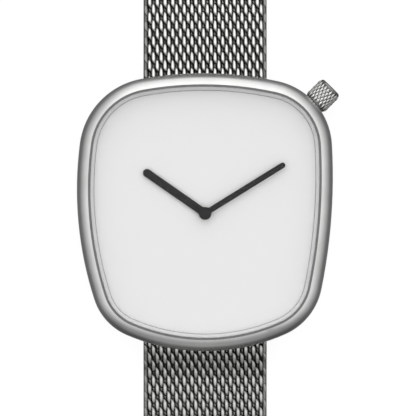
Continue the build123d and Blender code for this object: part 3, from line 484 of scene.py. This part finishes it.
def makeEdge(end, fromAway, toAway, side):
    # the soldered edge of the weave: a flat-sided wire that follows the rows' ends
    wire = weave["edge"]
    curve = bpy.data.curves.new("edge", "CURVE")
    curve.dimensions = "3D"
    curve.twist_mode = "Z_UP"
    curve.bevel_depth = wire["radius"]
    curve.extrude = wire["flat"] / 2
    curve.bevel_resolution = wire["smooth"]
    curve.use_fill_caps = True
    spline = curve.splines.new("POLY")
    steps = max(2, int(abs(toAway - fromAway) / wire["step"]))
    spline.points.add(steps)
    across = side * (weave["halfWidth"] - wire["radius"])
    for i in range(steps + 1):
        away = fromAway + (toAway - fromAway) * i / steps
        spline.points[i].co = (across, end["side"] * away, bandHeight(end, away), 1)
    edge = curveToMesh("edge", curve)
    height = edge.data.attributes.new("wireHeight", "FLOAT", "POINT")
    for vertex in edge.data.vertices:
        height.data[vertex.index].value = wireLevels["edge"]
    return edge


def makeWeave(name, end, wireRow, places, fromAway, toAway):
    parts = []
    reach = weave["slopeReach"]
    for index, away in enumerate(places):
        if not fromAway <= away < toAway:
            continue
        fall = math.atan2(bandHeight(end, away + reach) - bandHeight(end, away - reach), 2 * reach)
        slope = end["side"] * (fall - weave["shingle"])
        row = wireRow.copy()
        row.data = wireRow.data.copy()
        bpy.context.scene.collection.objects.link(row)
        # odd and even rows stand half a turn apart
        shift = (-0.25 if index % 2 else 0.25) * weave["turnPitch"] + weave["sidestep"]
        place = Matrix.Translation((shift, end["side"] * away, bandHeight(end, away)))
        row.matrix_world = place @ Matrix.Rotation(slope, 4, "X")
        parts.append(row)
    for side in (-1, 1):
        parts.append(makeEdge(end, max(fromAway, end["start"]), toAway, side))
    piece = joinPieces(parts, name)
    applyPlace(piece)
    height = piece.data.attributes["wireHeight"]
    # each end's painted light, by its lift and limit; rows towards the sides are kept duller
    for vertex in piece.data.vertices:
        limit = wireLevels["outsideLimit"] if abs(vertex.co.x) > wireLevels["outside"] else end["limit"]
        height.data[vertex.index].value = min(end["lift"] * height.data[vertex.index].value, limit)
        if abs(vertex.co.x) > weave["halfWidth"]:
            vertex.co.x = math.copysign(weave["halfWidth"] - weave["endCover"], vertex.co.x)
    piece.data.materials.clear()
    piece.data.materials.append(wireSteel)
    return piece


def jointPlace(name):
    for joint in frame["joints"]:
        if joint["name"] == name:
            return Vector(joint["pos_m"])


def weaveEnd(endName, end, wireRow):
    # a woven piece for each joint, cut half way between the joints, and the rest as one stiff piece
    bodies = end["bodies"]
    places = [jointPlace(f"{endName}_curl_{i}") for i in range(1, len(bodies))]
    joints = [abs(place.y) for place in places]
    last = max(abs(corner.y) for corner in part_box(end["nodes"][-1]))
    rows = rowPlaces(end, round((last - end["anchor"]) / weave["rowPitch"]))
    between = [(a + b) / 2 for a, b in zip(joints, joints[1:])]
    cuts = [0.0] + between + [joints[-1] + weave["rowsPastJoint"] * weave["rowPitch"], last]
    for i, (fromAway, toAway) in enumerate(zip(cuts, cuts[1:])):
        piece = makeWeave(f"{endName}Weave{i + 1}", end, wireRow, rows, fromAway, toAway)
        if i == len(joints):
            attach(piece, bodies[-1])
            continue
        reach = min(weave["bend"], joints[i] - fromAway, toAway - joints[i])
        height = places[i].z
        near, far = end["side"] * (joints[i] - reach), end["side"] * (joints[i] + reach)
        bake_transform(piece, bodies[i], bodies[i + 1], start=(0, near, height), end=(0, far, height))
        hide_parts(end["nodes"][i])


wireRow = makeWireRow()
for endName, end in bandEnds.items():
    weaveEnd(endName, end, wireRow)
bpy.data.objects.remove(wireRow)
print("band woven")


# Crown: turned cylinder with a diamond knurl and rounded ends

crownSizes = {
    "radius": 1.74 * mm,  # at the bottom of the grooves
    "peak": 0.17 * mm,
    "shoulder": 0.55,  # how far up the peak a diamond's border stands
    "groove": 0.07 * mm,
    "inner": 22.5 * mm,  # the crown's ends, from the hands' axis
    "outer": 26.1 * mm,
    "around": 20,  # the knurl's lines lie at 30 degrees to the axis
    "along": 3,
    "inside": 0.995,  # the middles of the flat side faces lie nearer the axis than this share of the radius
    "rim": 0.32 * mm,
    "rimSteps": ((0.02 * mm, 0.12 * mm), (0.1 * mm, 0.12 * mm), (0.16 * mm, 0.08 * mm)),  # inset, rise
    "height": 2.6 * mm,
    "angle": math.radians(45),
}
knurlLevels = {"end": 0.5, "rim": 0.6, "shoulder": 0.8, "peak": 1.0}  # of the knurl's painted light level; a groove's is 0, its painted shade


def isSide(face):
    return abs(face.normal.z) < 0.5


def selectFaces(mesh, test):
    bpy.ops.mesh.select_all(action="DESELECT")
    for face in mesh.faces:
        if test(face):
            face.select_set(True)


def setPoints(mesh, points, level=None, radius=None):
    # gives the points their painted light level and their distance from the crown's axis
    height = mesh.verts.layers.float["knurlHeight"]
    for point in points:
        if level is not None:
            point[height] = level
        if radius is not None:
            out = Vector((point.co.x, point.co.y, 0)).normalized() * radius
            point.co = Vector((out.x, out.y, point.co.z))


def cutKnurl(mesh, half):
    # ring cuts, so that the knurl's diamonds are about as long as they are wide
    for i in range(1, crownSizes["along"]):
        bpy.ops.mesh.select_all(action="SELECT")
        bpy.ops.mesh.bisect(plane_co=(0, 0, half * (2 * i / crownSizes["along"] - 1)), plane_no=(0, 0, 1))
    setPoints(mesh, [v for v in mesh.verts if abs(abs(v.co.z) - half) < 0.01 * mm], knurlLevels["end"])
    # poke every side face, then drop the square edges, which leaves diamonds
    selectFaces(mesh, isSide)
    bpy.ops.mesh.poke()
    inside = crownSizes["inside"] * crownSizes["radius"]
    middles = [v for v in mesh.verts if v.co.xy.length < inside]
    setPoints(mesh, middles, radius=crownSizes["radius"])
    bpy.ops.mesh.select_all(action="DESELECT")
    bpy.ops.mesh.select_mode(type="EDGE")
    for edge in mesh.edges:
        if all(isSide(face) for face in edge.link_faces) and not any(v in middles for v in edge.verts):
            edge.select_set(True)
    bpy.ops.mesh.dissolve_edges(use_verts=False)
    bpy.ops.mesh.select_mode(type="FACE")
    # each diamond gets a border, the groove's flank, and rises to a peak
    selectFaces(mesh, lambda face: isSide(face) and len(face.verts) == 4)
    bpy.ops.mesh.inset(
        thickness=crownSizes["groove"], use_individual=True, use_even_offset=False, use_interpolate=False
    )
    shoulder = crownSizes["radius"] + crownSizes["shoulder"] * crownSizes["peak"]
    setPoints(mesh, [v for v in mesh.verts if v.select], knurlLevels["shoulder"], shoulder)
    bpy.ops.mesh.poke()
    peaks = [v for v in mesh.verts if all(face.select for face in v.link_faces)]
    setPoints(mesh, peaks, knurlLevels["peak"], crownSizes["radius"] + crownSizes["peak"])


def roundRims(mesh):
    for side in (-1, 1):
        selectFaces(mesh, lambda face: not isSide(face) and face.calc_center_median().z * side > 0)
        for inset, rise in crownSizes["rimSteps"]:
            bpy.ops.mesh.inset(thickness=inset, use_even_offset=False, use_interpolate=False)
            bpy.ops.transform.translate(value=(0, 0, side * rise))
            setPoints(mesh, [v for v in mesh.verts if v.select], knurlLevels["rim"])


def makeCrown():
    knurlLength = crownSizes["outer"] - crownSizes["inner"] - 2 * crownSizes["rim"]
    deselectAll()
    bpy.ops.mesh.primitive_cylinder_add(
        vertices=crownSizes["around"], radius=crownSizes["radius"], depth=knurlLength
    )
    crown = bpy.context.object
    crown.name = "knurledCrown"
    crown.data.attributes.new("knurlHeight", "FLOAT", "POINT")
    bpy.ops.object.mode_set(mode="EDIT")
    bpy.ops.mesh.select_mode(type="FACE")
    mesh = bmesh.from_edit_mesh(crown.data)
    cutKnurl(mesh, knurlLength / 2)
    roundRims(mesh)
    bpy.ops.object.mode_set(mode="OBJECT")
    angle = crownSizes["angle"]
    middle = (crownSizes["inner"] + crownSizes["outer"]) / 2
    place = Matrix.Translation((middle * math.cos(angle), middle * math.sin(angle), crownSizes["height"]))
    crown.matrix_world = place @ Matrix.Rotation(angle, 4, "Z") @ Matrix.Rotation(math.radians(90), 4, "Y")
    applyPlace(crown)
    crown.data.materials.clear()
    crown.data.materials.append(makeKnurledSteel())
    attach(crown, "crown")
    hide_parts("crown")


makeCrown()
print("crown knurled")


# Floor, light and camera

studio = {
    # a soft dome: its strength by the sine of the height, times its share by how far towards 12 o'clock
    "byHeight": [
        (-1.0, 0.24), (-0.6, 0.14), (-0.24, 0.19), (-0.05, 0.35), (0.12, 0.54), (0.28, 0.62),
        (0.44, 0.76), (0.67, 1.05), (0.84, 1.22), (0.91, 1.34), (1.0, 1.5),
    ],
    "byNoon": [
        (-1.0, 0.95), (-0.92, 0.52), (-0.84, 0.44), (-0.74, 0.48), (-0.65, 0.64), (-0.54, 0.86), (-0.3, 0.96),
        (0.0, 1.06), (0.54, 0.96), (0.74, 1.18), (0.84, 1.46), (0.91, 1.9), (0.97, 2.3), (1.0, 2.9),
    ],
    "floorColour": "#5c5c5c",
    "floorGlow": 0.92,
    "floorSize": 3.0,
    "floorPlace": (0, 0, -0.02 * mm),
    "lampPlace": (0.0, 0.55, 0.75),
    "lampSize": 0.9,
    "lampPower": 1.0,
}


def addSeen(material):
    # 1 for what the camera sees, straight or through glass
    ways = addNode(material, "ShaderNodeLightPath")
    views = {0: (ways, "Is Camera Ray"), 1: (ways, "Is Transmission Ray")}
    seen = addNode(material, "ShaderNodeMath", {"operation": "MAXIMUM"}, views)
    return seen, "Value"


def makeFloor():
    deselectAll()
    bpy.ops.mesh.primitive_plane_add(size=studio["floorSize"], location=studio["floorPlace"])
    floor = bpy.context.object
    floor.name = "paleFloor"
    material, shader = startMaterial("paleFloorPaint", {
        "Base Color": hexToLinear(studio["floorColour"]), "Roughness": 1.0, "Specular IOR Level": 0.0,
    })
    seen = addSeen(material)
    strength = addNode(material, "ShaderNodeMath", {"operation": "MULTIPLY", 1: studio["floorGlow"]}, {0: seen})
    glow = addNode(material, "ShaderNodeEmission", None, {"Strength": (strength, "Value")})
    both = addNode(material, "ShaderNodeAddShader", None, {0: (shader, "BSDF"), 1: (glow, "Emission")})
    # it is clear from below, so that the watch's back shows, and to light on its way to the object, which
    # comes from the dome's lower half instead, so that the back is lit and the case keeps its dark outline
    face = addNode(material, "ShaderNodeNewGeometry")
    front = addNode(material, "ShaderNodeMath", {"operation": "SUBTRACT"}, {0: seen, 1: (face, "Backfacing")})
    clear = addNode(material, "ShaderNodeBsdfTransparent")
    mix = addNode(
        material, "ShaderNodeMixShader", None, {0: (front, "Value"), 1: (clear, "BSDF"), 2: (both, "Shader")}
    )
    linkInputs(material, material.node_tree.nodes["Material Output"], {"Surface": (mix, "Shader")})
    floor.data.materials.append(material)


def makeDome():
    world = bpy.context.scene.world or bpy.data.worlds.new("studioWorld")
    bpy.context.scene.world = world
    world.use_nodes = True
    coords = addNode(world, "ShaderNodeTexCoord")
    split = addNode(world, "ShaderNodeSeparateXYZ", None, {"Vector": (coords, "Generated")})
    factors = {}
    for i, (output, stops) in enumerate((("Z", studio["byHeight"]), ("Y", studio["byNoon"]))):
        # the direction's part, -1 to 1, picks the level; the ramp holds the levels as shares of the top one
        top = max(level for sine, level in stops)
        greys = [(0.5 + 0.5 * sine, (level / top, level / top, level / top, 1)) for sine, level in stops]
        half = {"operation": "MULTIPLY_ADD", 1: 0.5, 2: 0.5}
        share = addNode(world, "ShaderNodeMath", half, {0: (split, output)})
        ramp = addNode(world, "ShaderNodeValToRGB", {"stops": greys}, {"Fac": (share, "Value")})
        level = addNode(world, "ShaderNodeMath", {"operation": "MULTIPLY", 1: top}, {0: (ramp, "Color")})
        factors[i] = (level, "Value")
    strength = addNode(world, "ShaderNodeMath", {"operation": "MULTIPLY"}, factors)
    dome = addNode(world, "ShaderNodeBackground", {"Color": (1, 1, 1, 1)}, {"Strength": (strength, "Value")})
    white = world.node_tree.nodes["Background"]
    white.inputs["Color"].default_value = (1, 1, 1, 1)
    white.inputs["Strength"].default_value = 1.0
    shown = {0: addSeen(world), 1: (dome, "Background"), 2: (white, "Background")}
    mix = addNode(world, "ShaderNodeMixShader", None, shown)
    linkInputs(world, world.node_tree.nodes["World Output"], {"Surface": (mix, "Shader")})


def makeLamp():
    # one soft lamp on the 12 o'clock side gives the rim and the case their soft shadows
    bpy.ops.object.light_add(type="AREA", location=studio["lampPlace"])
    lamp = bpy.context.object
    lamp.name = "softboxTop"
    lamp.data.size = studio["lampSize"]
    lamp.data.energy = studio["lampPower"]
    lamp.rotation_euler = (-Vector(studio["lampPlace"])).to_track_quat("-Z", "Y").to_euler()


def makeCamera():
    # straight above the dial, as a long lens sees it; the frame is 416 pixels at 6.86 to the millimetre
    view = {
        "x": 0.43 * mm, "y": 0.787 * mm, "focus": 5.0 * mm, "distance": 1.0,
        "frame": 416 / 6.86 * mm, "sensor": 36, "farthest": 10,
    }
    bpy.ops.object.camera_add(location=(view["x"], view["y"], view["distance"] + view["focus"]))
    camera = bpy.context.object
    camera.name = "overheadCamera"
    camera.data.sensor_width = view["sensor"]
    camera.data.lens = view["sensor"] * view["distance"] / view["frame"]
    camera.data.clip_end = view["farthest"]
    bpy.context.scene.camera = camera


makeFloor()
makeDome()
makeLamp()
makeCamera()
bpy.context.scene.view_settings.view_transform = "Standard"
print("stage set")
